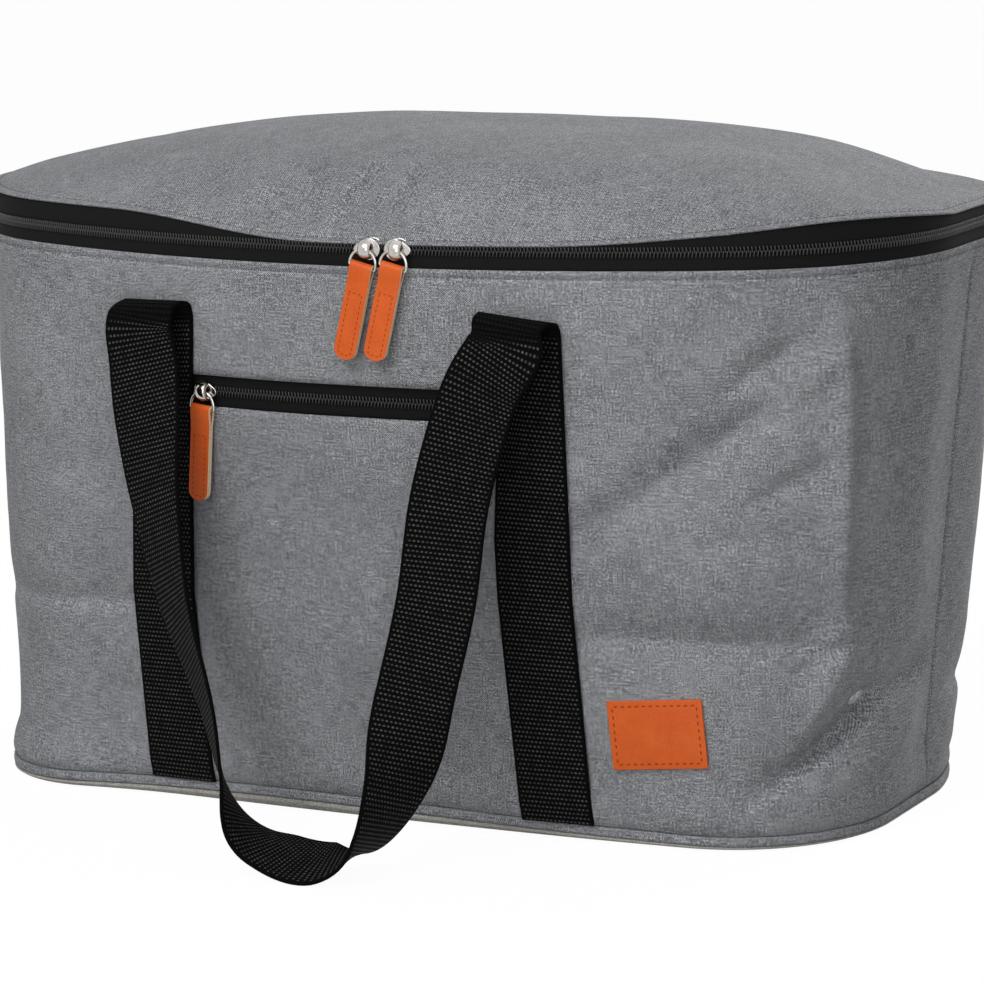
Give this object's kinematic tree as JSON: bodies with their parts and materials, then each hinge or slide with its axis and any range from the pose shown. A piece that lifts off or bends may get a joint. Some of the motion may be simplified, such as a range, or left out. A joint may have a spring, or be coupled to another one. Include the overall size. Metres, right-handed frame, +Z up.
{
  "type": "cooler bag",
  "caption": "Insulated soft cooler bag with a zipped domed lid, webbing carry handles, a zipped front pocket and leather zip pulls.",
  "frame": {"origin": "on the ground, under the middle of the base", "axes": "+Z up, +X to the right seen from the front, front towards -Y"},
  "size_m": [0.5328, 0.5047, 0.3342],
  "materials": {
    "grey_cloth": "heather grey woven polyester",
    "black_webbing": "ribbed black webbing",
    "black_tape": "black woven zip tape",
    "black_coil": "black nylon coil",
    "black_lining": "thin black pocket cloth",
    "white_foam": "closed-cell foam sheet",
    "silver_foil": "welded silver lining film",
    "tan_leather": "smooth orange-tan leather",
    "nickel": "bright nickel plate"
  },
  "bodies": {
    "tub": {"front_panel": "grey_cloth", "back_panel": "grey_cloth", "base_panel": "grey_cloth", "base_welt": "grey_cloth", "wall_foam": "white_foam", "base_foam": "white_foam", "body_liner": "silver_foil", "zip_lower_tape": "black_tape", "zip_lower_coil": "black_coil", "hinge_band": "grey_cloth", "pocket_lower_tape": "black_tape", "pocket_lower_coil": "black_coil", "pocket_upper_coil": "black_coil", "pocket_upper_tape": "black_tape", "pocket_pouch": "black_lining", "front_left_leg": "black_webbing", "front_right_leg": "black_webbing", "back_left_leg": "black_webbing", "back_right_leg": "black_webbing", "front_patch": "tan_leather"},
    "lid": {"lid_panel": "grey_cloth", "lid_foam": "white_foam", "lid_liner": "silver_foil", "zip_upper_tape": "black_tape", "zip_upper_coil": "black_coil"},
    "front_handle": {"front_handle_loop": "black_webbing"},
    "back_handle": {"back_handle_loop": "black_webbing"},
    "left_slider_body": {"left_slider": "nickel"},
    "left_ring_body": {"left_pull_ring": "nickel"},
    "left_tab_body": {"left_pull_tab": "tan_leather"},
    "right_slider_body": {"right_slider": "nickel"},
    "right_ring_body": {"right_pull_ring": "nickel"},
    "right_tab_body": {"right_pull_tab": "tan_leather"},
    "pocket_slider_body": {"pocket_slider": "nickel"},
    "pocket_ring_body": {"pocket_pull_ring": "nickel"},
    "pocket_tab_body": {"pocket_pull_tab": "tan_leather"}
  },
  "joints": [
    {"name": "lid_hinge", "type": "hinge", "parent": "tub", "child": "lid", "pos_m": [0, 0.15, 0.30385], "axis": [-1, 0, 0], "range_deg": [0, 110]},
    {"name": "left_zip", "type": "hinge", "parent": "tub", "child": "left_slider_body", "pos_m": [0, 0.366, 0.29], "axis": [0, 0, 1], "range_deg": [-9, 0]},
    {"name": "left_ring_swing", "type": "hinge", "parent": "left_slider_body", "child": "left_ring_body", "pos_m": [0.02213, -0.15673, 0.28978], "axis": [-0.9694, -0.0411, 0.2419], "range_deg": [0, 110]},
    {"name": "left_tab_swing", "type": "hinge", "parent": "left_ring_body", "child": "left_tab_body", "pos_m": [0.02005, -0.15682, 0.28138], "axis": [-0.9694, -0.0411, 0.2419], "range_deg": [0, 60]},
    {"name": "right_zip", "type": "hinge", "parent": "tub", "child": "right_slider_body", "pos_m": [0, 0.366, 0.29], "axis": [0, 0, 1], "range_deg": [0, 4]},
    {"name": "right_ring_swing", "type": "hinge", "parent": "right_slider_body", "child": "right_ring_body", "pos_m": [0.03823, -0.1558, 0.28978], "axis": [-0.9677, -0.0709, 0.2419], "range_deg": [0, 110]},
    {"name": "right_tab_swing", "type": "hinge", "parent": "right_ring_body", "child": "right_tab_body", "pos_m": [0.03615, -0.15595, 0.28138], "axis": [-0.9677, -0.0709, 0.2419], "range_deg": [0, 60]},
    {"name": "pocket_zip", "type": "hinge", "parent": "tub", "child": "pocket_slider_body", "pos_m": [0, 0.48784, 0.2145], "axis": [0, 0, 1], "range_deg": [0, 13.9]},
    {"name": "pocket_ring_swing", "type": "hinge", "parent": "pocket_slider_body", "child": "pocket_ring_body", "pos_m": [-0.07739, -0.14658, 0.21427], "axis": [0.9889, -0.1206, -0.0872], "range_deg": [-30, 0]},
    {"name": "pocket_tab_swing", "type": "hinge", "parent": "pocket_ring_body", "child": "pocket_tab_body", "pos_m": [-0.07814, -0.14649, 0.20566], "axis": [0.9889, -0.1206, -0.0872], "range_deg": [-25, 0]},
    {"name": "front_handle_swing", "type": "hinge", "parent": "tub", "child": "front_handle", "pos_m": [0, -0.15943, 0.24585], "axis": [1, 0, 0], "range_deg": [-140, 0]},
    {"name": "back_handle_swing", "type": "hinge", "parent": "tub", "child": "back_handle", "pos_m": [0, 0.16511, 0.24585], "axis": [-1, 0, 0], "range_deg": [-140, 0]}
  ]
}
